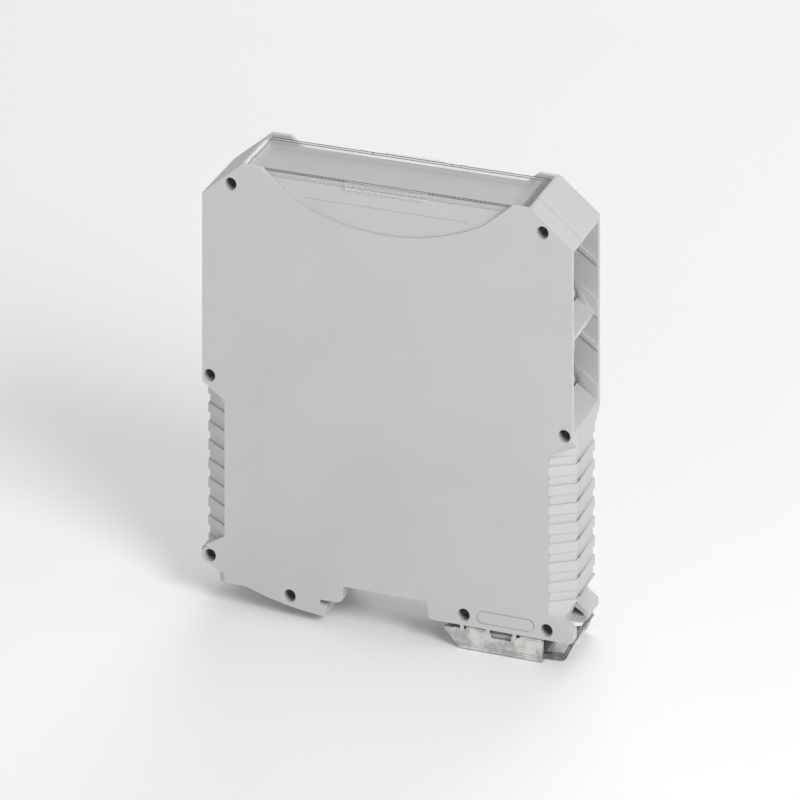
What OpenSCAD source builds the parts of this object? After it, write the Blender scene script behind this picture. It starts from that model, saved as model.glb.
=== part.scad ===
// DIN rail enclosure: a slim electronics housing that clips to a 35 mm top-hat rail.
// X runs along the 99 mm height of the rail side, Y across the housing, Z away from the rail.
// The origin lies on the rail's bearing plane, at the middle of the rail and of the width.

/* [Body] */
// Length of the housing along X
body_length = 99; // [94:0.5:110]
// Width of the housing along Y
body_width = 22.6; // [22:0.1:40]
// Height of the shoulders above the rail plane
body_height = 106.6; // [104:0.1:125]
// Thickness of the two side walls
side_wall = 1.5; // [1.2:0.1:2]
// Thickness of the end walls behind the ribs
end_wall = 1.8; // [1.6:0.1:3]
// Depth of the shallow shell, from its face to the seam
near_depth = 6.8; // [5:0.1:8]
// Length of the sloping shoulder along X
shoulder_run = 10.6; // [8:0.1:12]
// Drop of the sloping shoulder along Z
shoulder_drop = 8.4; // [6:0.1:9]

/* [End grip ribs] */
// How far the corner bevels reach along X
bevel_run = 6.1; // [4:0.1:7]
// How far the corner bevels reach along Y
bevel_depth = 4.2; // [2:0.1:5]
// Drop of the bevel's top below the lower deck
bevel_drop = 9.4; // [9:0.1:14]
// Rise of the bevel's top edge along the side face
bevel_rise = 4.1; // [2:0.1:5]
// Spacing of the grip grooves
rib_pitch = 4.8; // [4:0.1:7]
// Depth of the grip grooves
rib_depth = 0.45; // [0.2:0.05:0.8]
// Number of grip grooves on each end
rib_count = 8; // [3:1:8]

/* [Front] */
// Distance that the clear cover's free end stops short of the shoulder
cover_short = 0.45; // [0.3:0.05:0.8]
// Thickness of the clear cover
cover_thickness = 1.4; // [1:0.1:1.6]
// Drop of the cover's face below the shoulders
cover_drop = 0.8; // [0.5:0.1:1.2]
// Length of the nail grip on the cover's edge
grip_length = 21.5; // [12:0.5:30]
// Width of the rim beside the cover
rim_width = 1.3; // [1.2:0.1:1.8]
// Half length of the finger recess at its fold
recess_reach = 26.3; // [20:0.1:28]
// Height of the finger recess's fold
recess_fold = 100.75; // [98:0.05:102]
// Depth of the finger recess's lower dish
recess_depth = 0.4; // [0.2:0.05:0.8]
// Drop of the dish below the fold
recess_dish = 6.35; // [3:0.05:10]
// Gap between the cover's underside and the front plate
plate_drop = 1; // [0.6:0.05:2]

/* [End pockets] */
// Spacing of the two connector tiers
tier_pitch = 21.4; // [18:0.1:24]
// Height of the lower deck at its inner edge
deck_height = 55.6; // [53:0.1:60]
// Length of a deck along X
deck_length = 4.3; // [3:0.1:5]
// Slope of the decks and guide ribs in degrees
deck_slope = 34; // [20:1:40]
// Thickness of the decks
deck_thickness = 1.1; // [0.8:0.1:2]

/* [Rail foot] */
// Width of the rail that the foot takes
rail_width = 35; // [35:0.1:35.4]
// Thickness of the rail's flange
rail_flange = 1; // [0.8:0.1:1.5]
// Half length of the notch above the rail
notch_reach = 11.15; // [9:0.05:12]
// Height of the notch above the rail plane
notch_height = 4.3; // [3:0.1:4.6]
// Rise of the fixed foot's curved underside from the hook to the ear
foot_rise = 9.4; // [8:0.1:11]
// Width of the foot's side wall beside the release slot
foot_side = 3.5; // [2.5:0.1:4]
// Width of the windowed lug behind the release slot
lug_width = 8.5; // [6:0.1:9.5]

/* [Sliding catch] */
// Thickness of the catch's sheet metal
sheet = 1; // [0.8:0.1:1.2]
// Bite of the catch's nose under the rail flange
catch_bite = 1.9; // [1:0.1:2.5]
// Depth of the catch below the rail plane
catch_depth = 5.9; // [5:0.1:6.4]
// Width of the catch's release loop
tongue_width = 17.6; // [12:0.1:18]
// Width of the release loop's arms
loop_arm = 1.6; // [1:0.1:3]

/* [Joining pegs] */
// Diameter of the peg bores in the shallow shell
bore_diameter = 3.05; // [2.4:0.05:3.2]
// Depth of a peg's end below the shallow shell's face
peg_drop = 2.6; // [0.4:0.1:4]

/* [Fits] */
// Radial gap between the pegs and their bores
peg_gap = 0.05; // [0.02:0.01:0.1]
// Radial gap between the cover's pins and their sockets
pin_gap = 0.05; // [0.02:0.01:0.1]
// Gap round the cover in its opening
cover_gap = 0.15; // [0.1:0.05:0.3]
// Gap between the catch and its guide
slide_gap = 0.2; // [0.1:0.05:0.3]
// Gap round the plates that drop into the front
plate_gap = 0.05; // [0:0.05:0.2]

/* [Hidden] */
$fn = 64;

grey = [0.78, 0.78, 0.77];
plate_grey = [0.66, 0.66, 0.66];
clear = [0.9, 0.93, 0.95, 0.45];
white = [0.93, 0.93, 0.92];
steel = [0.75, 0.76, 0.78];

hx = body_length / 2;
hy = body_width / 2;
seam = near_depth - hy;
wall_face = hy - side_wall;
over = 1;

shoulder_x = hx - shoulder_run;
shoulder_z = body_height - shoulder_drop;
mouth_top = shoulder_z - 1.3;
bevel_x = hx - bevel_run;
bevel_top = deck_height - bevel_drop;

cover_top = body_height - cover_drop;
cover_seat = cover_top - cover_thickness;
rim_face = hy - rim_width;
cover_half = rim_face - cover_gap;
hinge_round = 0.95;
hinge_x = shoulder_x - 2;
hinge_z = cover_top - hinge_round;
pin_radius = 0.65;
pin_reach = 0.8;
cover_end = hinge_x + hinge_round;
cover_start = cover_short - shoulder_x;
opening_end = cover_end + cover_gap;
opening_start = cover_start - cover_gap;

plate_thickness = 1.6;
plate_seat = cover_seat - plate_drop - plate_thickness;
ledge = 1.2;
front_roof = plate_seat - ledge;
plate_half = rim_face - 0.8;
plate_end = hinge_x - 2.2;
plate_start = opening_start + 1;

strip_back = -shoulder_x - 1.1;
strip_half = hy - 2.3;
strip_top = body_height - 1.3;
strip_height = 1.8;

fall = tan(deck_slope);
deck_inner = hx - 5.5;

foot_joint = 4.7;
foot_x = hx - 4.5;
undercut = [hx - 2.9, foot_joint];
slot_far = foot_side - hy + 8.1;
hook_x = -rail_width / 2 - 0.1;
foot_span = hx + hook_x + 5.3;
foot_radius = (pow(foot_span, 2) + pow(foot_rise, 2)) / (2 * foot_rise);
catch_nose = rail_width / 2 - catch_bite;
floor_top = notch_height + 0.6;

catch_half = hy - 0.5;
cheek_face = catch_half - sheet;
guide_start = rail_width / 2 + 4.5;
guide_end = guide_start + 18;
lip_top = -0.3;
lip_bottom = lip_top - 1.1;
guide_top = lip_bottom - slide_gap;
guide_half = cheek_face - slide_gap;
neck_half = cheek_face - 1.1;
lip_half = neck_half + slide_gap;

bore = bore_diameter / 2;
peg_spots = [[-hx + 7.7, shoulder_z + 3.2], [hx - 7.8, shoulder_z + 3],
             [-hx + 1.9, deck_height - 3.7], [hx - 2.1, deck_height - 4.2],
             [-hx + 2.1, 6.2], [-25.7, -0.5], [rail_width / 2 + 3.4, 2.5], [hx - 6.75, 2.3]];

// Draws an X-Z outline from y0 to y1.
module across(y0, y1) {
    rotate([90, 0, 0]) translate([0, 0, -y1]) linear_extrude(y1 - y0) children();
}

// Copies a shape to both ends of the housing.
module both_ends() {
    children();
    mirror([1, 0, 0]) children();
}

// Copies a shape to both sides of the housing.
module both_sides() {
    children();
    mirror([0, 1, 0]) children();
}

// Fills the space below the plane through p with normal n.
module below_plane(p, n) {
    translate(p) rotate([0, acos(n[2] / norm(n)), atan2(n[1], n[0])])
        translate([-60, -60, -120]) cube(120);
}

// Outline of the body without its feet.
module body_outline() {
    difference() {
        polygon([[-shoulder_x, body_height], [shoulder_x, body_height], [hx, shoulder_z],
                 [hx, foot_joint + 4.5], undercut, [foot_x, foot_joint], [foot_x, 0],
                 [-foot_x, 0], [-foot_x, foot_joint], [-hx, foot_joint + 4],
                 [-hx, shoulder_z]]);
        notch_outline();
    }
}

// Outline of the notch for the bus connector in the rail.
module notch_outline() {
    polygon([[-notch_reach - 1.55, -over], [-notch_reach - 1.55, 0],
             [-notch_reach - 0.45, 0.6], [-notch_reach, notch_height],
             [notch_reach, notch_height], [notch_reach + 0.55, 0.4],
             [notch_reach + 1.05, 0], [notch_reach + 1.05, -over]]);
}

// Outline of the fixed foot: ear, curved underside and rail hook.
module hook_outline() {
    intersection() {
        polygon([[-bevel_x, 11.7], [-hx + 1.2, 8.93], [-hx + 0.2, 8.3], [-hx - 0.2, 7.5],
                 [-hx - 0.2, -8], [hook_x + 1.45, -8], [hook_x + 1.6, -rail_flange - 0.55],
                 [hook_x, -rail_flange - 0.1], [hook_x, 0], [-notch_reach - 1.55, 0],
                 [-notch_reach - 1.55, 2], [-30, floor_top], [1 - bevel_x, floor_top]]);
        translate([hook_x + 5.1, foot_radius - 4.13]) circle(r = foot_radius, $fn = 180);
    }
}

// Outline of the sliding foot's side wall.
module foot_outline() {
    polygon([[foot_x - 3, 0], [hx - 0.6, 0], [hx + 0.1, 0.4], [hx + 0.1, 2.95],
             [bevel_x - 0.2, 6.5], [foot_x - 3, 6.5]]);
}

// Outline of the windowed lug behind the release slot.
module lug_outline() {
    difference() {
        polygon([[foot_x - 1, 0], [hx - 1.1, 0], [hx + 0.45, 1.25], [hx + 0.35, 2.95],
                 [hx - 2.6, 5.1], [foot_x - 1, 5.1]]);
        polygon([[hx - 4.2, 1.5], [hx - 0.8, 1.6], [hx - 0.8, 2.3], [hx - 3.15, 3.75]]);
    }
}

// Outline of the hollow, open at both ends above the lower decks.
module hollow_outline() {
    half = [[hx - 10, front_roof], [hx - 9.6, front_roof - 1.6], [hx - 3.9, front_roof - 1.6],
            [hx - 1.2, mouth_top], [hx + over, mouth_top],
            [hx + over, deck_height - (hx + over - deck_inner) * fall],
            [deck_inner, deck_height], [deck_inner, deck_height - deck_thickness],
            [deck_inner + 0.3, deck_height - 6.4], [hx - end_wall, deck_height - 8.1],
            [hx - end_wall, foot_joint + 6.8], [foot_x + 0.2, foot_joint + 2.3],
            [foot_x - 2.1, foot_joint + 1.5], [foot_x - 2.1, floor_top],
            [notch_reach + 2.8, floor_top], [notch_reach + 1.8, notch_height + 1.8]];
    both_ends() polygon(concat([[0, front_roof]], half, [[0, notch_height + 1.8]]));
}

// The hollow, with its lower corners filled behind the bevels, from y0 to y1.
module hollow(y0, y1) {
    slant = [bevel_run, bevel_depth] / norm([bevel_run, bevel_depth]);
    skin = rib_depth + 1.2;
    start = [bevel_x - skin * slant[1], skin * slant[0] - hy];
    end = start + 1.4 * [bevel_run, bevel_depth];
    difference() {
        across(y0, y1) hollow_outline();
        both_ends() both_sides() translate([0, 0, -10])
            linear_extrude(bevel_top + bevel_rise + 11)
                polygon([start, end, [hx + 2, end[1]], [hx + 2, -hy - over],
                         [start[0], -hy - over]]);
    }
}

// Prisms that bevel the four corners below the slanting lip.
module corner_cuts() {
    rise = [bevel_run, 0, bevel_rise];
    dive = [0, bevel_depth, 1 - bevel_rise];
    both_ends() both_sides() intersection() {
        translate([0, 0, -10]) linear_extrude(bevel_top + 20)
            polygon([[bevel_x, -hy], [bevel_x, -hy - over], [hx + over, -hy - over],
                     [hx + over, bevel_depth - hy], [hx, bevel_depth - hy]]);
        below_plane([bevel_x, -hy, bevel_top], cross(rise, dive));
    }
}

// Grip grooves that run round each beveled end.
module grip_grooves() {
    inset = rib_depth * norm([bevel_run, bevel_depth]) / bevel_run;
    core = [[0, -hy], [bevel_x, -hy], [bevel_x, inset - hy],
            [hx - rib_depth, inset - hy + (bevel_run - rib_depth) * bevel_depth / bevel_run],
            [hx - rib_depth, hy - inset - (bevel_run - rib_depth) * bevel_depth / bevel_run],
            [bevel_x, hy - inset], [bevel_x, hy], [0, hy]];
    both_ends() for (i = [0 : rib_count - 1])
        translate([0, 0, bevel_top - 0.75 - rib_pitch * (i + 0.5)])
            linear_extrude(rib_pitch / 2) difference() {
                translate([bevel_x - over, -hy - over])
                    square([bevel_run + 2 * over, body_width + 2 * over]);
                polygon(core);
            }
}

// Finger recess on both sides: a shallow dish below a slope to the cover's edge.
module finger_recess() {
    spread = (body_height - recess_fold) * 1.24;
    lean = [0, rim_face - hy + recess_depth, recess_fold - cover_seat];
    dish = (pow(recess_reach, 2) + pow(recess_dish, 2)) / (2 * recess_dish);
    both_sides() {
        across(-hy - over, recess_depth - hy) intersection() {
            translate([0, recess_fold - recess_dish + dish]) circle(r = dish, $fn = 180);
            translate([-recess_reach - over, recess_fold - recess_dish - over])
                square([2 * recess_reach + 2 * over, recess_dish + over]);
        }
        intersection() {
            across(-hy - over, -rim_face + 0.6) polygon([
                [-recess_reach, recess_fold], [recess_reach, recess_fold],
                [recess_reach + spread * 1.2, recess_fold + spread * 1.2 / 1.24],
                [-recess_reach - spread * 1.2, recess_fold + spread * 1.2 / 1.24]]);
            below_plane([0, recess_depth - hy, recess_fold], cross([1, 0, 0], lean));
        }
    }
}

// Openings for the cover, the marker strip and the front plate.
module front_openings() {
    translate([opening_start, -rim_face, cover_seat])
        cube([opening_end - opening_start, 2 * rim_face, 10]);
    translate([plate_start, -plate_half, plate_seat])
        cube([plate_end - plate_start, 2 * plate_half, 10]);
    translate([plate_start + over, over - plate_half, front_roof - over])
        cube([plate_end - plate_start - 2 * over, 2 * plate_half - 2 * over, 10]);
    translate([strip_back, -strip_half, strip_top - strip_height])
        cube([opening_start - strip_back + over, 2 * strip_half, 10]);
    translate([hinge_x, rim_face, hinge_z]) rotate([90, 0, 0])
        cylinder(r = hinge_round + cover_gap, h = 2 * rim_face);
    both_sides() translate([hinge_x, over - rim_face, hinge_z]) rotate([90, 0, 0])
        cylinder(r = pin_radius + pin_gap, h = over + pin_reach + 0.1);
}

// Decks and guide ribs of the two connector tiers, from y0 to the wall at y1.
module pocket_fittings(y0, y1, wall_y0, wall_y1) {
    both_ends() {
        across(y0, y1) polygon([
            [deck_inner, deck_height + tier_pitch],
            [deck_inner + deck_length, deck_height + tier_pitch - deck_length * fall],
            [deck_inner + deck_length,
             deck_height + tier_pitch - deck_length * fall - deck_thickness],
            [deck_inner, deck_height + tier_pitch - deck_thickness]]);
        for (tier = [0, 1]) {
            base = deck_height + tier * tier_pitch;
            across(wall_y0, wall_y1) {
                polygon([[deck_inner - 0.7, base + 0.7 * fall + 4.1],
                         [hx, base + 4.1 - 5.5 * fall], [hx, base - 0.5 - 5.5 * fall],
                         [deck_inner, base - 0.5], [deck_inner - 0.7, base - 0.5]]);
                polygon([[deck_inner - 0.5, base + 14.2], [hx, base + 14.2 - 6 * fall],
                         [hx, base + 13 - 6 * fall], [deck_inner - 0.5, base + 13]]);
            }
        }
    }
}

// Half of the guide that carries the catch, from y0 to y1.
module catch_guide(y0, y1) {
    translate([guide_start, max(y0, -neck_half), guide_top - over])
        cube([guide_end - guide_start, min(y1, neck_half) - max(y0, -neck_half),
              over - guide_top + over]);
    translate([guide_start, y0, guide_top - 1.4])
        cube([guide_end - guide_start, y1 - y0, 1.4]);
}

// The shallow shell on the near side, with the peg bores and the mark field.
module near_shell() {
    color(grey) difference() {
        union() {
            difference() {
                across(-hy, seam) body_outline();
                corner_cuts();
                grip_grooves();
                hollow(side_wall - hy, seam + over);
            }
            across(-hy, seam) hook_outline();
            across(-hy, foot_side - hy) foot_outline();
            pocket_fittings(side_wall - hy, seam, side_wall - hy - 0.2, side_wall - hy + 0.5);
            catch_guide(-guide_half, seam);
            for (x = [guide_start - 1.5, guide_start + 5.3, guide_start + 12.3])
                translate([x - 0.5, -hy, -1.4]) cube([1, 0.35, 2.4]);
        }
        finger_recess();
        front_openings();
        release_slot();
        for (spot = peg_spots) translate([spot[0], seam + over, spot[1]]) rotate([90, 0, 0]) {
            cylinder(r = bore, h = near_depth + 2 * over);
            translate([0, 0, near_depth + over - 0.25])
                cylinder(r1 = bore, r2 = bore + 0.5, h = 0.5);
        }
        translate([rail_width / 2 + 14.5, 0.2 - hy, 2.8]) rotate([90, 0, 0])
            linear_extrude(over) mark_outline();
    }
}

// Slot beside the foot's side wall, where a blade reaches the catch's tongue.
module release_slot() {
    translate([foot_x, foot_side - hy, -over])
        cube([10, slot_far + hy - foot_side, foot_joint + over]);
}

// Pill-shaped outline of the material mark field.
module mark_outline() {
    difference() {
        union() {
            square([12, 3.3], center = true);
            for (x = [-6, 6]) translate([x, 0]) circle(d = 3.3);
        }
        square([12, 2.7], center = true);
        for (x = [-6, 6]) translate([x, 0]) circle(d = 2.7);
    }
}

// The deep shell on the far side, with the pegs and the windowed lug.
module far_shell() {
    color(grey) {
        difference() {
            union() {
                difference() {
                    across(seam, hy) body_outline();
                    corner_cuts();
                    grip_grooves();
                    hollow(seam - over, wall_face);
                }
                across(seam, hy) hook_outline();
                across(slot_far, slot_far + lug_width) lug_outline();
                pocket_fittings(seam, wall_face, wall_face - 0.5, wall_face + 0.2);
                catch_guide(seam, guide_half);
            }
            finger_recess();
            front_openings();
            release_slot();
        }
        for (spot = peg_spots) translate([spot[0], seam + over, spot[1]]) rotate([90, 0, 0])
            cylinder(r = bore - peg_gap, h = near_depth + over - peg_drop);
    }
}

// The clear hinged cover with its pins, nail grip and far tab.
module front_cover() {
    color(clear) difference() {
        union() {
            translate([cover_start, -cover_half, cover_seat])
                cube([hinge_x - cover_start, 2 * cover_half, cover_thickness]);
            translate([hinge_x, cover_half, hinge_z]) rotate([90, 0, 0])
                cylinder(r = hinge_round, h = 2 * cover_half);
            translate([hinge_x, cover_half + pin_reach, hinge_z]) rotate([90, 0, 0])
                cylinder(r = pin_radius, h = 2 * cover_half + 2 * pin_reach);
            translate([-grip_length / 2, -hy + 0.1, cover_seat])
                cube([grip_length, hy - cover_half, cover_thickness]);
            translate([-8, cover_half - 0.1, cover_seat])
                cube([16, hy - cover_half, cover_thickness]);
            for (x = [-13.5, 13.5]) translate([x - 1, cover_half - 0.1, cover_seat])
                cube([2, 0.8, cover_thickness]);
        }
        for (i = [0 : 11]) translate([-grip_length / 2 + 1.6 + i * (grip_length - 3.2) / 11,
                                      -hy + 0.1, cover_seat + cover_thickness / 2])
            rotate([0, 35, 0]) cube([0.35, 0.4, 3], center = true);
    }
}

// The grey plate under the clear cover.
module front_plate() {
    color(plate_grey)
        translate([plate_start + plate_gap, plate_gap - plate_half, plate_seat])
            cube([plate_end - plate_start - 2 * plate_gap, 2 * plate_half - 2 * plate_gap,
                  plate_thickness]);
}

// The white marker strip at the cover's free end.
module marker_strip() {
    color(white) difference() {
        translate([strip_back, plate_gap - strip_half, strip_top - strip_height])
            cube([opening_start - strip_back - 0.2, 2 * strip_half - 2 * plate_gap,
                  strip_height]);
        translate([strip_back + 0.7, -4, strip_top - 0.6]) cube([2, 3, 1]);
    }
}

// The sheet-metal catch: cheeks, floor, nose, rolled lips and release loop.
module foot_catch() {
    nose_low = guide_start - 2.3;
    end = bevel_x - 1.8;
    lip = (lip_top - lip_bottom) / 2;
    cheek = [[catch_nose, -rail_flange - 0.2], [catch_nose, -rail_flange - 0.9],
             [nose_low, -catch_depth], [end, -catch_depth], [end, lip_bottom + 0.4],
             [guide_start - 3.9, lip_bottom + 0.4], [guide_start - 3.9, -rail_flange - 0.2]];
    color(steel) {
        both_sides() {
            difference() {
                across(-catch_half, -cheek_face) polygon(cheek);
                translate([guide_start + 6, -hy, -2.2]) cube([5.3, 3, 3]);
            }
            for (span = [[-0.6, 4.6], [13.6, end - guide_start - 0.3]]) {
                translate([guide_start + span[0], lip - catch_half, lip_bottom + lip])
                    rotate([0, 90, 0]) cylinder(r = lip, h = span[1] - span[0]);
                translate([guide_start + span[0], lip - catch_half, lip_bottom + 0.2])
                    cube([span[1] - span[0], catch_half - lip_half - lip, 2 * lip - 0.2]);
            }
            across(-tongue_width / 2, loop_arm - tongue_width / 2) polygon([
                [end - 0.5, -catch_depth], [hx - 2.9, 0.3 - catch_depth],
                [hx - 2.3, 0.9 - catch_depth], [hx - 0.2, -0.9], [hx - 1.4, -0.9],
                [hx - 3.3, 1.4 - catch_depth], [end - 0.5, 1.1 - catch_depth]]);
        }
        across(-cheek_face - sheet / 2, cheek_face + sheet / 2) polygon([
            [catch_nose, -rail_flange - 0.9], [nose_low, -catch_depth], [end, -catch_depth],
            [end, sheet - catch_depth], [nose_low + 0.4, sheet - catch_depth],
            [catch_nose + 1.4, -rail_flange - 0.9]]);
        across(loop_arm / 2 - tongue_width / 2, tongue_width / 2 - loop_arm / 2) polygon([
            [hx - 0.55, -1.8], [hx - 0.2, -0.9], [hx - 1.4, -0.9], [hx - 1.75, -1.8]]);
    }
}

near_shell();
far_shell();
front_cover();
front_plate();
marker_strip();
foot_catch();
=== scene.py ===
"""Slim rail housing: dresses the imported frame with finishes, rounded shells and small details."""
import logging
import math
from dataclasses import dataclass
from enum import Enum

import bmesh
import bpy
import numpy as np
from mathutils import Matrix, Vector


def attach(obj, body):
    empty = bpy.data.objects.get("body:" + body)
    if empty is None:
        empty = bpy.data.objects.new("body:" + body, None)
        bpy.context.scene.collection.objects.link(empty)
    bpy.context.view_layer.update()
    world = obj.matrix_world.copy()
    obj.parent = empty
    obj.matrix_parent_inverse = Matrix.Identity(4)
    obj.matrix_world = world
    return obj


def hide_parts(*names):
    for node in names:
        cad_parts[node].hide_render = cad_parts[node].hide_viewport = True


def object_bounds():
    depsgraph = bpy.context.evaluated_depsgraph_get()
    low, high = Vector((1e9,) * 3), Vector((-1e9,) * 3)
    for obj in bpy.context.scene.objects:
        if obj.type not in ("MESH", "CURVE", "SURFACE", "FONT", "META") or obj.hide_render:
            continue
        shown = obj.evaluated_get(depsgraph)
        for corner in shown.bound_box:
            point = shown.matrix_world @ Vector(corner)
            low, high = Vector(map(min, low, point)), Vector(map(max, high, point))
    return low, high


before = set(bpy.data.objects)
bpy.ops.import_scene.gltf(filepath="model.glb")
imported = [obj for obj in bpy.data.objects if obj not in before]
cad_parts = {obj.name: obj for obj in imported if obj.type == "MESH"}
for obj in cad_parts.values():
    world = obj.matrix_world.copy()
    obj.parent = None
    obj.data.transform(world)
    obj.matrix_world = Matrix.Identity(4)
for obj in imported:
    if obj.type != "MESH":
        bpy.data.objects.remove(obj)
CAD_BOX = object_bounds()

logging.basicConfig(level=logging.INFO, format="%(message)s")
LOG = logging.getLogger("housing")

Colour = tuple[float, float, float]
MM = 0.001
MERGE_REACH = 0.004 * MM
FLAT_ANGLE = math.radians(1.0)
SHARP_ANGLE = math.radians(32.0)
MARKED_ANGLE = math.radians(25.0)


class Body(Enum):
    """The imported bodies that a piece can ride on."""

    HOUSING = "housing"
    COVER = "cover"
    CATCH = "catch"


class Slot(Enum):
    """The record's material slots."""

    SHELL = "shell_grey"
    PLATE = "plate_grey"
    CLEAR = "clear_cover"
    WHITE = "marker_white"
    STEEL = "catch_steel"


class Nodes:
    """A small helper that builds one material's node tree."""

    def __init__(self, name: str) -> None:
        """Starts a material with an empty tree, a shader and an output.

        Args:
            name: The material's name.
        """
        self.material = bpy.data.materials.new(name)
        self.material.use_nodes = True
        self.tree = self.material.node_tree
        self.tree.nodes.clear()
        self.shader = self.add("ShaderNodeBsdfPrincipled")
        output = self.add("ShaderNodeOutputMaterial")
        self.link(self.shader, "BSDF", output, "Surface")
        self.object_coordinates = self.add("ShaderNodeTexCoord")

    def add(self, kind: str, **values: object) -> bpy.types.Node:
        """Adds a node and sets its plain properties.

        Args:
            kind: The node's type name.
            values: Properties to set on the node.

        Returns:
            The new node.
        """
        node = self.tree.nodes.new(kind)
        for key, value in values.items():
            setattr(node, key, value)
        return node

    def link(self, source: bpy.types.Node, out: str | int, target: bpy.types.Node,
             into: str | int) -> None:
        """Links one node's output to another's input.

        Args:
            source: The node that gives the value.
            out: The name or number of its output.
            target: The node that takes the value.
            into: The name or number of its input.
        """
        self.tree.links.new(source.outputs[out], target.inputs[into])

    def noise(self, scale: float, detail: float = 3.0, stretch: Colour = (1, 1, 1)
              ) -> bpy.types.Node:
        """Adds a noise texture on Object coordinates.

        Args:
            scale: The noise's scale, per metre.
            detail: How many octaves the noise has.
            stretch: The scale along each axis, for a directional grain.

        Returns:
            The noise node.
        """
        mapping = self.add("ShaderNodeMapping")
        mapping.inputs["Scale"].default_value = stretch
        self.link(self.object_coordinates, "Object", mapping, "Vector")
        noise = self.add("ShaderNodeTexNoise")
        noise.inputs["Scale"].default_value = scale
        noise.inputs["Detail"].default_value = detail
        self.link(mapping, "Vector", noise, "Vector")
        return noise

    def blend(self, source: bpy.types.Node, low: Colour, high: Colour,
              start: float = 0.35, end: float = 0.65) -> bpy.types.Node:
        """Turns a texture's value into a colour between two tones.

        Args:
            source: The texture node; its Fac output is read.
            low: The colour at start.
            high: The colour at end.
            start: The value where the blend begins.
            end: The value where the blend ends.

        Returns:
            The colour ramp node.
        """
        ramp = self.add("ShaderNodeValToRGB")
        for element, place, tone in zip(ramp.color_ramp.elements, (start, end), (low, high)):
            element.position = place
            element.color = (*tone, 1)
        self.link(source, 0, ramp, "Fac")
        return ramp

    def math(self, kind: str, source: bpy.types.Node, out: str | int, value: float
             ) -> bpy.types.Node:
        """Adds a math node with one linked input and one plain value.

        Args:
            kind: The node's operation.
            source: The node that gives the first input.
            out: The name or number of its output.
            value: The second input.

        Returns:
            The math node.
        """
        node = self.add("ShaderNodeMath", operation=kind)
        self.link(source, out, node, 0)
        node.inputs[1].default_value = value
        return node

    def overlap(self, first: bpy.types.Node, second: bpy.types.Node) -> bpy.types.Node:
        """Makes a mask that is one only where two masks are.

        Args:
            first: One mask node.
            second: The other mask node.

        Returns:
            The mask node.
        """
        node = self.add("ShaderNodeMath", operation="MULTIPLY")
        self.link(first, 0, node, 0)
        self.link(second, 0, node, 1)
        return node

    def line(self, axis: str, place: float, half: float) -> bpy.types.Node:
        """Makes a mask that is one on a thin line across an Object axis.

        Args:
            axis: The Object axis the line is placed on.
            place: Where the line lies, in metres.
            half: Half the line's width.

        Returns:
            The mask node.
        """
        split = self.add("ShaderNodeSeparateXYZ")
        self.link(self.object_coordinates, "Object", split, "Vector")
        away = self.math("SUBTRACT", split, axis, place)
        size = self.add("ShaderNodeMath", operation="ABSOLUTE")
        self.link(away, 0, size, 0)
        return self.math("LESS_THAN", size, 0, half)

    def darken(self, colour: bpy.types.Node, mask: bpy.types.Node, tone: Colour,
               amount: float) -> bpy.types.Node:
        """Lays a darker tone over a colour where a mask is one.

        Args:
            colour: The colour node; its Color output is read.
            mask: The mask node.
            tone: The darker tone.
            amount: How much of the tone shows.

        Returns:
            The mix node; its Color output is the result.
        """
        share = self.math("MULTIPLY", mask, 0, amount)
        mix = self.add("ShaderNodeMixRGB")
        self.link(share, 0, mix, 0)
        self.link(colour, "Color", mix, 1)
        mix.inputs[2].default_value = (*tone, 1)
        return mix

    def gloss(self, source: bpy.types.Node, low: float, high: float) -> None:
        """Spreads the shader's roughness between two values by a texture.

        Args:
            source: The texture node; its first output is read.
            low: The roughness at zero.
            high: The roughness at one.
        """
        span = self.add("ShaderNodeMapRange")
        span.inputs["To Min"].default_value = low
        span.inputs["To Max"].default_value = high
        self.link(source, 0, span, "Value")
        self.link(span, "Result", self.shader, "Roughness")

    def bump(self, source: bpy.types.Node, strength: float, distance: float) -> None:
        """Feeds a texture into the shader's normal as fine relief.

        Args:
            source: The texture node; its first output is the height.
            strength: The bump's strength.
            distance: The relief's height in metres.
        """
        bump = self.add("ShaderNodeBump")
        bump.inputs["Strength"].default_value = strength
        bump.inputs["Distance"].default_value = distance
        self.link(source, 0, bump, "Height")
        self.link(bump, "Normal", self.shader, "Normal")


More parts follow.
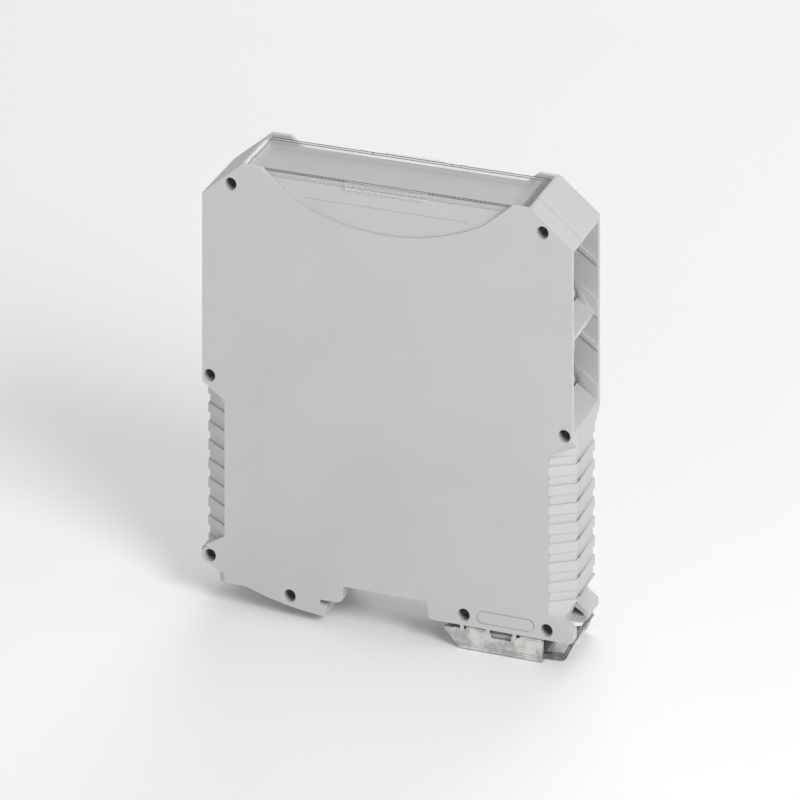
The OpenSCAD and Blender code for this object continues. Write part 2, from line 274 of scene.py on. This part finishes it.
@dataclass(frozen=True)
class MouldedFinish:
    """Fine spark-eroded plastic: faint mottled colour and a grain of about 0.2 mm."""

    name: str
    tone: Colour
    spread: float = 0.012
    roughness: float = 0.52
    grain: float = 5200.0
    relief: float = 0.000012
    seam_shade: float | None = None
    seam_shade_half: float = 0.09 * MM
    fold_shade: float | None = None
    fold_shade_half: float = 0.1 * MM
    fold_shade_reach: float = 22 * MM
    fold_shade_face: float = -11.1 * MM
    fold_shade_face_half: float = 0.6 * MM

    def build(self) -> bpy.types.Material:
        """Builds the plastic's material, with painted shade lines at the joint between the shells
        and across the near face near the top, where they are set.

        Returns:
            The finished material.
        """
        nodes = Nodes(self.name)
        low = tuple(c - self.spread for c in self.tone)
        high = tuple(c + self.spread for c in self.tone)
        cloud = nodes.noise(38.0, 4.0)
        colour = nodes.blend(cloud, low, high)
        # Painted shade: a thin dark line at the joint between the two shells, where shade falls in
        # the groove.
        if self.seam_shade is not None:
            seam_shade = nodes.line("Y", self.seam_shade, self.seam_shade_half)
            colour = nodes.darken(colour, seam_shade, (0.2, 0.2, 0.2), 0.6)
        # Painted shade: a thin dark crease line across the near face near the top, kept within a
        # span along X.
        if self.fold_shade is not None:
            face = nodes.line("Y", self.fold_shade_face, self.fold_shade_face_half)
            fold_shade = nodes.overlap(face, nodes.line("Z", self.fold_shade, self.fold_shade_half))
            fold_shade = nodes.overlap(fold_shade, nodes.line("X", 0.0, self.fold_shade_reach))
            colour = nodes.darken(colour, fold_shade, (0.3, 0.3, 0.3), 0.55)
        nodes.link(colour, "Color", nodes.shader, "Base Color")
        nodes.gloss(nodes.noise(900.0, 2.0), self.roughness - 0.05, self.roughness + 0.06)
        nodes.shader.inputs["IOR"].default_value = 1.5
        nodes.bump(nodes.noise(self.grain, 2.0), 0.35, self.relief)
        return nodes.material


@dataclass(frozen=True)
class ClearFinish:
    """Clear polished plastic with a cool tint and faint moulding waves."""

    name: str
    tone: Colour
    alpha: float = 0.3
    roughness: float = 0.09

    def build(self) -> bpy.types.Material:
        """Builds the clear plastic's material.

        Returns:
            The finished material.
        """
        nodes = Nodes(self.name)
        low = tuple(c * 0.95 for c in self.tone)
        wave = nodes.noise(55.0, 2.0)
        nodes.link(nodes.blend(wave, low, self.tone), "Color", nodes.shader, "Base Color")
        nodes.shader.inputs["Roughness"].default_value = self.roughness
        nodes.shader.inputs["IOR"].default_value = 1.58
        nodes.shader.inputs["Alpha"].default_value = self.alpha
        nodes.shader.inputs["Coat Weight"].default_value = 0.4
        nodes.shader.inputs["Coat Roughness"].default_value = 0.05
        nodes.bump(nodes.noise(140.0, 2.0), 0.12, 0.00003)
        return nodes.material


@dataclass(frozen=True)
class SheetFinish:
    """Zinc-plated sheet: spangled patches of tone, fine rolling lines and painted shade lines along
    the bends.
    """

    name: str
    light: Colour
    dark: Colour
    metallic: float = 1.0
    roughness: float = 0.36
    fold_shades: tuple[float, float] = (-4.75 * MM, -5.25 * MM)
    fold_shade_half: float = 0.07 * MM

    def build(self) -> bpy.types.Material:
        """Builds the sheet metal's material.

        Returns:
            The finished material.
        """
        nodes = Nodes(self.name)
        patch = nodes.noise(420.0, 5.0)
        colour = nodes.blend(patch, self.dark, self.light, 0.38, 0.58)
        # Painted shade: thin dark lines along the catch's bends.
        for place in self.fold_shades:
            fold_shade = nodes.line("Z", place, self.fold_shade_half)
            colour = nodes.darken(colour, fold_shade, (0.16, 0.16, 0.16), 0.6)
        nodes.link(colour, "Color", nodes.shader, "Base Color")
        nodes.shader.inputs["Metallic"].default_value = self.metallic
        nodes.gloss(nodes.noise(1500.0, 3.0), self.roughness - 0.1, self.roughness + 0.14)
        nodes.bump(nodes.noise(1900.0, 2.0, (0.12, 1, 1)), 0.4, 0.00002)
        return nodes.material


@dataclass(frozen=True)
class Finishes:
    """Every finish on the housing."""

    # The shells' finish carries painted shade lines: one at the joint between the shells, one
    # across the near face near the top.
    shell: MouldedFinish = MouldedFinish("shell moulding", (0.535, 0.54, 0.53),
                                         seam_shade=-4.5 * MM, fold_shade=100.75 * MM)
    plate: MouldedFinish = MouldedFinish("front plate moulding", (0.41, 0.41, 0.405), 0.008,
                                         0.42, 3600.0, 0.000006)
    strip: MouldedFinish = MouldedFinish("marker strip card", (0.82, 0.82, 0.81), 0.006, 0.45,
                                         3000.0, 0.000004)
    clear: ClearFinish = ClearFinish("clear cover plastic", (0.86, 0.88, 0.88))
    # Painted shade: the dark tone of the discs deep in the pegs' bores.
    bore_shade: MouldedFinish = MouldedFinish("bore shadow", (0.045, 0.045, 0.045), 0.006, 0.7)
    # Painted shade and dark reflection along the clear cover's edges; the same dark tone makes the
    # hatching beside the grip.
    trace: MouldedFinish = MouldedFinish("cover edge shade and hatch", (0.085, 0.09, 0.09), 0.008, 0.35)
    # Painted highlights along the clear cover's edges.
    bright: MouldedFinish = MouldedFinish("painted edge highlight", (0.72, 0.73, 0.73), 0.01, 0.3)
    frost: ClearFinish = ClearFinish("frosted field", (0.5, 0.52, 0.52), 0.45, 0.5)
    sheet: SheetFinish = SheetFinish("plated sheet", (0.78, 0.78, 0.76), (0.52, 0.52, 0.51))
    # Partly the darker bare steel of the cut edges, partly painted shade and dark reflection on the
    # release loop.
    edge: SheetFinish = SheetFinish("cut edge and painted shade", (0.34, 0.34, 0.35),
                                    (0.2, 0.2, 0.21), 0.9, 0.5)


def add_object(name: str, mesh: bpy.types.Mesh) -> bpy.types.Object:
    """Links a new object that carries a mesh.

    Args:
        name: The object's name.
        mesh: Its mesh, already in place.

    Returns:
        The new object.
    """
    piece = bpy.data.objects.new(name, mesh)
    bpy.context.scene.collection.objects.link(piece)
    return piece


def merged_copy(node: str) -> bpy.types.Mesh:
    """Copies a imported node's mesh with its doubles merged and its flats dissolved.

    Args:
        node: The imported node's name, which the copy takes too.

    Returns:
        The copied mesh.
    """
    shape = bmesh.new()
    shape.from_mesh(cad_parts[node].data)
    bmesh.ops.remove_doubles(shape, verts=shape.verts, dist=MERGE_REACH)
    bmesh.ops.dissolve_degenerate(shape, edges=shape.edges, dist=MERGE_REACH / 2)
    bmesh.ops.dissolve_limit(shape, angle_limit=FLAT_ANGLE, verts=shape.verts,
                             edges=shape.edges)
    mesh = bpy.data.meshes.new(node)
    shape.to_mesh(mesh)
    shape.free()
    mesh.materials.clear()
    return mesh


def soften(piece: bpy.types.Object, width: float, segments: int,
           limit: str = "ANGLE") -> None:
    """Rounds a piece's sharp edges and evens its shading.

    Args:
        piece: The piece to round.
        width: The rounding's width in metres.
        segments: How many faces cross each rounding.
        limit: ANGLE rounds every sharp edge, WEIGHT only the edges that are marked.
    """
    bevel = piece.modifiers.new("rounded edges", "BEVEL")
    bevel.width = width
    bevel.segments = segments
    bevel.limit_method = limit
    bevel.angle_limit = SHARP_ANGLE
    bevel.harden_normals = False
    bevel.use_clamp_overlap = True
    bevel.miter_outer = "MITER_ARC"
    normals = piece.modifiers.new("even shading", "WEIGHTED_NORMAL")
    normals.keep_sharp = False
    normals.weight = 80
    polygons = piece.data.polygons
    polygons.foreach_set("use_smooth", np.ones(len(polygons), dtype=bool))


def mark_edges(mesh: bpy.types.Mesh, shortest: float) -> None:
    """Marks the long sharp edges, the ones that a moulding has a radius on.

    Args:
        mesh: The mesh to mark.
        shortest: Edges up to this length are left alone.
    """
    shape = bmesh.new()
    shape.from_mesh(mesh)
    layer = shape.edges.layers.float.new("bevel_weight_edge")
    for edge in shape.edges:
        if len(edge.link_faces) == 2 and edge.calc_length() > shortest:
            edge[layer] = float(edge.calc_face_angle(0.0) > MARKED_ANGLE)
    shape.to_mesh(mesh)
    shape.free()


def place_in_frame(piece: bpy.types.Object, body: Body,
                   node: str | None = None) -> bpy.types.Object:
    """Ties a piece to its body and the node it stands for.

    Args:
        piece: The piece.
        body: The body it rides on.
        node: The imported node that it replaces, if any.

    Returns:
        The same piece.
    """
    if node is not None:
        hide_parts(node)
    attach(piece, body.value)
    return piece


def boxes(name: str, rows: list[list[float]], material: bpy.types.Material
          ) -> bpy.types.Object:
    """Builds one piece from many small upright boxes.

    Args:
        name: The piece's name.
        rows: One row per box: x0, x1, y0, y1, z0, z1, in millimetres.
        material: The piece's material.

    Returns:
        The new piece.
    """
    corners = np.array([[0, 2, 4], [1, 2, 4], [1, 3, 4], [0, 3, 4],
                        [0, 2, 5], [1, 2, 5], [1, 3, 5], [0, 3, 5]])
    sides = np.array([[0, 3, 2, 1], [4, 5, 6, 7], [0, 1, 5, 4],
                      [1, 2, 6, 5], [2, 3, 7, 6], [3, 0, 4, 7]])
    points = (np.array(rows, dtype=float) * MM)[:, corners].reshape(-1, 3)
    first = len(corners) * np.arange(len(rows))
    faces = (sides[None] + first[:, None, None]).reshape(-1, 4)
    mesh = bpy.data.meshes.new(name)
    mesh.from_pydata(points.tolist(), [], faces.tolist())
    mesh.materials.append(material)
    return add_object(name, mesh)


@dataclass
class Shells:
    """The two moulded shells, their plate and the marker strip."""

    finishes: Finishes
    edge_width: float = 0.22 * MM
    shortest_edge: float = 0.9 * MM
    plate_edge: float = 0.12 * MM

    def shell(self, node: str, material: bpy.types.Material) -> bpy.types.Object:
        """Dresses one shell with rounded edges.

        Args:
            node: The shell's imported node.
            material: The shells' shared material.

        Returns:
            The dressed shell.
        """
        piece = add_object(f"{node}_moulding", merged_copy(node))
        piece.data.materials.append(material)
        mark_edges(piece.data, self.shortest_edge)
        soften(piece, self.edge_width, 3, "WEIGHT")
        return place_in_frame(piece, Body.HOUSING, node)

    def plain(self, node: str, material: bpy.types.Material) -> bpy.types.Object:
        """Dresses the front plate or the marker strip.

        Args:
            node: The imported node.
            material: Its material.

        Returns:
            The dressed piece.
        """
        piece = add_object(f"{node}_piece", merged_copy(node))
        piece.data.materials.append(material)
        soften(piece, self.plate_edge, 2)
        return place_in_frame(piece, Body.HOUSING, node)

    def build(self) -> list[bpy.types.Object]:
        """Builds the shells, the painted shade discs in the pegs' bores, the plate and the strip.

        Returns:
            The pieces made.
        """
        skin = self.finishes.shell.build()
        return [self.shell("near_shell", skin), self.shell("far_shell", skin),
                BoreShadeDiscs(self.finishes).build(),
                self.plain("front_plate", self.finishes.plate.build()),
                self.plain("marker_strip", self.finishes.strip.build())]


@dataclass
class BoreShadeDiscs:
    """Painted shade: dark flat discs deep in the pegs' bores on the near side, in millimetres."""

    finishes: Finishes
    spots: tuple[tuple[float, float], ...] = (
        (-41.8, 101.4), (41.7, 101.2), (-47.6, 51.9), (47.4, 51.4),
        (-47.4, 6.2), (-25.7, -0.5), (20.9, 2.5), (42.75, 2.3))
    near_face: float = -11.3
    depth: float = 2.45
    radius: float = 1.35
    corners: int = 32

    def build(self) -> bpy.types.Object:
        """Builds one flat painted shade disc deep in each of the pegs' bores.

        Returns:
            The discs as one piece.
        """
        turn = np.linspace(0, 2 * math.pi, self.corners, endpoint=False)
        ring = np.stack([np.cos(turn), np.sin(turn)], axis=1) * self.radius
        flat = (np.array(self.spots)[:, None] + ring[None]).reshape(-1, 2)
        points = np.insert(flat, 1, self.near_face + self.depth, axis=1) * MM
        faces = np.arange(len(points)).reshape(len(self.spots), -1)
        mesh = bpy.data.meshes.new("bore_shade_discs")
        mesh.from_pydata(points.tolist(), [], faces.tolist())
        mesh.materials.append(self.finishes.bore_shade.build())
        return place_in_frame(add_object("bore_shade_discs", mesh), Body.HOUSING)


@dataclass
class CoverTrim:
    """The painted shade and highlight lines along the clear cover's edges, the dark hatching and
    the frosted field on the cover's front, in millimetres.
    """

    finishes: Finishes
    front: float = 105.8
    sunk: float = 0.05
    proud: float = 0.03
    start: float = -38.2
    end: float = 36.6
    grip: float = 10.75
    grip_face: float = -11.1
    hatch_pitch: float = 1.15
    hatch_width: float = 0.4

    def row(self, x0: float, x1: float, y0: float, y1: float, raised: float = 0.0
            ) -> list[float]:
        """Gives the box of one line on the cover's front.

        Args:
            x0: Its start along the cover.
            x1: Its end along the cover.
            y0: Its near side.
            y1: Its far side.
            raised: How much higher than the other lines it stands.

        Returns:
            The box's row, as boxes() takes it.
        """
        return [x0, x1, y0, y1, self.front - self.sunk, self.front + self.proud + raised]

    def dark(self) -> list[list[float]]:
        """Lays out the painted shade lines along the clear cover's edges and the dark hatching
        beside the grip.

        Returns:
            One row per box.
        """
        # Painted shade and dark reflection along the clear cover's edges.
        long_lines = ((-9.95, -9.65), (-9.05, -8.75), (8.35, 8.62), (9.55, 9.82))
        rows = [self.row(self.start, self.end, *sides) for sides in long_lines]
        rows += [self.row(-38.3, -38.15, -9.7, 9.7), self.row(36.35, self.end, -9.8, 9.7),
                 self.row(35.5, 35.7, -8.8, 8.5), self.row(-8.1, 8.1, 9.75, 9.9),
                 self.row(-10.9, -10.6, 9.0, 9.75), self.row(10.6, 10.9, 9.0, 9.75)]
        hatch = np.arange(-37.5, 36.8, self.hatch_pitch)
        return rows + [self.row(x, x + self.hatch_width, -9.7, -8.95, -0.01)
                       for x in hatch[np.abs(hatch) > self.grip]]

    def light(self) -> list[list[float]]:
        """Lays out the painted highlight lines round the nail grip and along the far edge.

        Returns:
            One row per box.
        """
        # Painted highlights round the nail grip and along the far edge.
        side = 0.15
        return [self.row(-self.grip, self.grip, -9.72, -9.58, 0.02),
                self.row(-self.grip, side - self.grip, self.grip_face, -9.7),
                self.row(self.grip - side, self.grip, self.grip_face, -9.7),
                self.row(-38.1, 36.5, 9.05, 9.2)]

    def build(self) -> list[bpy.types.Object]:
        """Builds the trim.

        Returns:
            The pieces made.
        """
        frosted = [self.row(33.6, 35.5, -8.6, 8.3, -0.02)]
        pieces = [boxes("cover_edge_shade_and_hatch", self.dark(), self.finishes.trace.build()),
                  boxes("cover_edge_highlights", self.light(), self.finishes.bright.build()),
                  boxes("cover_frosted_field", frosted, self.finishes.frost.build())]
        return [place_in_frame(piece, Body.COVER) for piece in pieces]


@dataclass
class Cover:
    """The clear hinged cover with its trim."""

    finishes: Finishes
    edge_width: float = 0.15 * MM

    def build(self) -> list[bpy.types.Object]:
        """Builds the cover and its trim.

        Returns:
            The pieces made.
        """
        piece = add_object("clear_cover_moulding", merged_copy("front_cover"))
        piece.data.materials.append(self.finishes.clear.build())
        soften(piece, self.edge_width, 2)
        place_in_frame(piece, Body.COVER, "front_cover")
        return [piece, *CoverTrim(self.finishes).build()]


@dataclass
class Catch:
    """The folded sheet-metal catch, with light plated faces and darker faces along Y on the release
    loop, partly the bare steel of its cut edges and partly painted shade and dark reflection.
    """

    finishes: Finishes
    edge_width: float = 0.12 * MM
    cheek_end: float = 42.5 * MM
    side_facing: float = 0.9

    def build(self) -> list[bpy.types.Object]:
        """Builds the catch and gives the release loop's faces along Y the darker finish: partly
        cut-edge steel, partly painted shade and dark reflection.

        A face takes the darker finish where it faces along Y and belongs to the release loop,
        past the end of the cheeks.

        Returns:
            The pieces made.
        """
        piece = add_object("sheet_catch", merged_copy("foot_catch"))
        mesh = piece.data
        mesh.materials.append(self.finishes.sheet.build())
        mesh.materials.append(self.finishes.edge.build())
        normals = np.empty((len(mesh.polygons), 3))
        centres = np.empty((len(mesh.polygons), 3))
        mesh.polygons.foreach_get("normal", normals.ravel())
        mesh.polygons.foreach_get("center", centres.ravel())
        # Painted shade and dark reflection, with the cut steel's own darker tone, on the release
        # loop's faces along Y.
        cut_and_shaded = (np.abs(normals[:, 1]) > self.side_facing) & (centres[:, 0] > self.cheek_end)
        mesh.polygons.foreach_set("material_index", cut_and_shaded.astype(np.int32))
        soften(piece, self.edge_width, 2)
        return [place_in_frame(piece, Body.CATCH, "foot_catch")]


@dataclass
class Studio:
    """The floor, the soft light and the view camera with upright verticals."""

    turn: float = math.radians(20.29)
    distance: float = 1.511
    sideways: float = -0.0104
    height: float = 0.7286
    lean: float = 0.4502
    drift: float = 0.00684
    field: float = 0.2026
    sensor: float = 36.0
    floor_half: float = 4.0
    floor_gap: float = 0.0003
    sky_strength: float = 0.44

    def camera(self) -> None:
        """Builds the camera: its upright axis stays vertical, as in a view camera.

        The slant between the camera's axes is held by the parent's matrix, because an object's
        own place, turn and scale can't hold one.
        """
        right = Vector((math.cos(self.turn), math.sin(self.turn), 0))
        back = Vector((math.sin(self.turn), -math.cos(self.turn), 0))
        away = back - self.drift * right + Vector((0, 0, self.lean))
        place = back * self.distance + right * self.sideways + Vector((0, 0, self.height))
        camera = bpy.data.objects.new("camera", bpy.data.cameras.new("camera"))
        holder = bpy.data.objects.new("camera_holder", None)
        for item in (camera, holder):
            bpy.context.scene.collection.objects.link(item)
        camera.parent = holder
        camera.data.sensor_width = self.sensor
        camera.data.lens = self.sensor * self.distance / self.field * away.length
        camera.data.clip_start = 0.05
        away.normalize()
        axes = Matrix.Identity(4)
        for column, vector in enumerate((right, Vector((0, 0, 1)), away, place)):
            axes.col[column][:3] = vector
        camera.matrix_parent_inverse = axes
        bpy.context.scene.camera = camera

    def light(self, name: str, place: Colour, aim: Colour, size: float, power: float) -> None:
        """Adds one soft area light.

        Args:
            name: The light's name.
            place: Where it stands.
            aim: The point it shines at.
            size: Its width in metres.
            power: Its power in watts.
        """
        data = bpy.data.lights.new(name, "AREA")
        data.shape = "DISK"
        data.size = size
        data.energy = power
        lamp = bpy.data.objects.new(name, data)
        lamp.location = place
        lamp.rotation_euler = (Vector(aim) - Vector(place)).to_track_quat("-Z", "Y").to_euler()
        bpy.context.scene.collection.objects.link(lamp)

    def floor(self, level: float) -> None:
        """Lays a wide pale floor under the housing.

        Args:
            level: The floor's height.
        """
        side = np.array([-self.floor_half, self.floor_half])
        x, y = np.meshgrid(side, side)
        points = np.stack([x.ravel(), y.ravel(), np.full(4, level)], axis=1)
        mesh = bpy.data.meshes.new("floor")
        mesh.from_pydata(points.tolist(), [], [(0, 1, 3, 2)])
        piece = add_object("floor", mesh)
        nodes = Nodes("pale floor")
        cloud = nodes.noise(3.0, 2.0)
        nodes.link(nodes.blend(cloud, (0.93, 0.93, 0.93), (0.95, 0.95, 0.95)), "Color",
                   nodes.shader, "Base Color")
        nodes.shader.inputs["Roughness"].default_value = 0.9
        mesh.materials.append(nodes.material)

    def build(self) -> None:
        """Builds the camera, the lights, the sky and the floor."""
        self.camera()
        self.floor(CAD_BOX[0][2] - self.floor_gap)
        middle = (0, 0, 0.05)
        self.light("key", (0.75, -0.55, 0.65), middle, 0.5, 7.6)
        self.light("front", (-0.25, -1.3, 0.55), middle, 0.9, 0.8)
        self.light("top", (0.0, 0.25, 1.2), middle, 0.7, 1.2)
        self.light("backdrop", (-0.2, 1.9, 1.5), (-0.2, 2.2, 0), 1.6, 26.0)
        world = bpy.data.worlds.new("studio")
        world.use_nodes = True
        sky = world.node_tree.nodes["Background"]
        sky.inputs["Color"].default_value = (1, 1, 1, 1)
        sky.inputs["Strength"].default_value = self.sky_strength
        bpy.context.scene.world = world
        bpy.context.scene.view_settings.view_transform = "Standard"


def main() -> None:
    """Builds the studio and every piece."""
    finishes = Finishes()
    Studio().build()
    for group in (Shells(finishes), Cover(finishes), Catch(finishes)):
        for piece in group.build():
            LOG.info("built %s: %d faces", piece.name, len(piece.data.polygons))


if __name__ == "__main__":
    main()
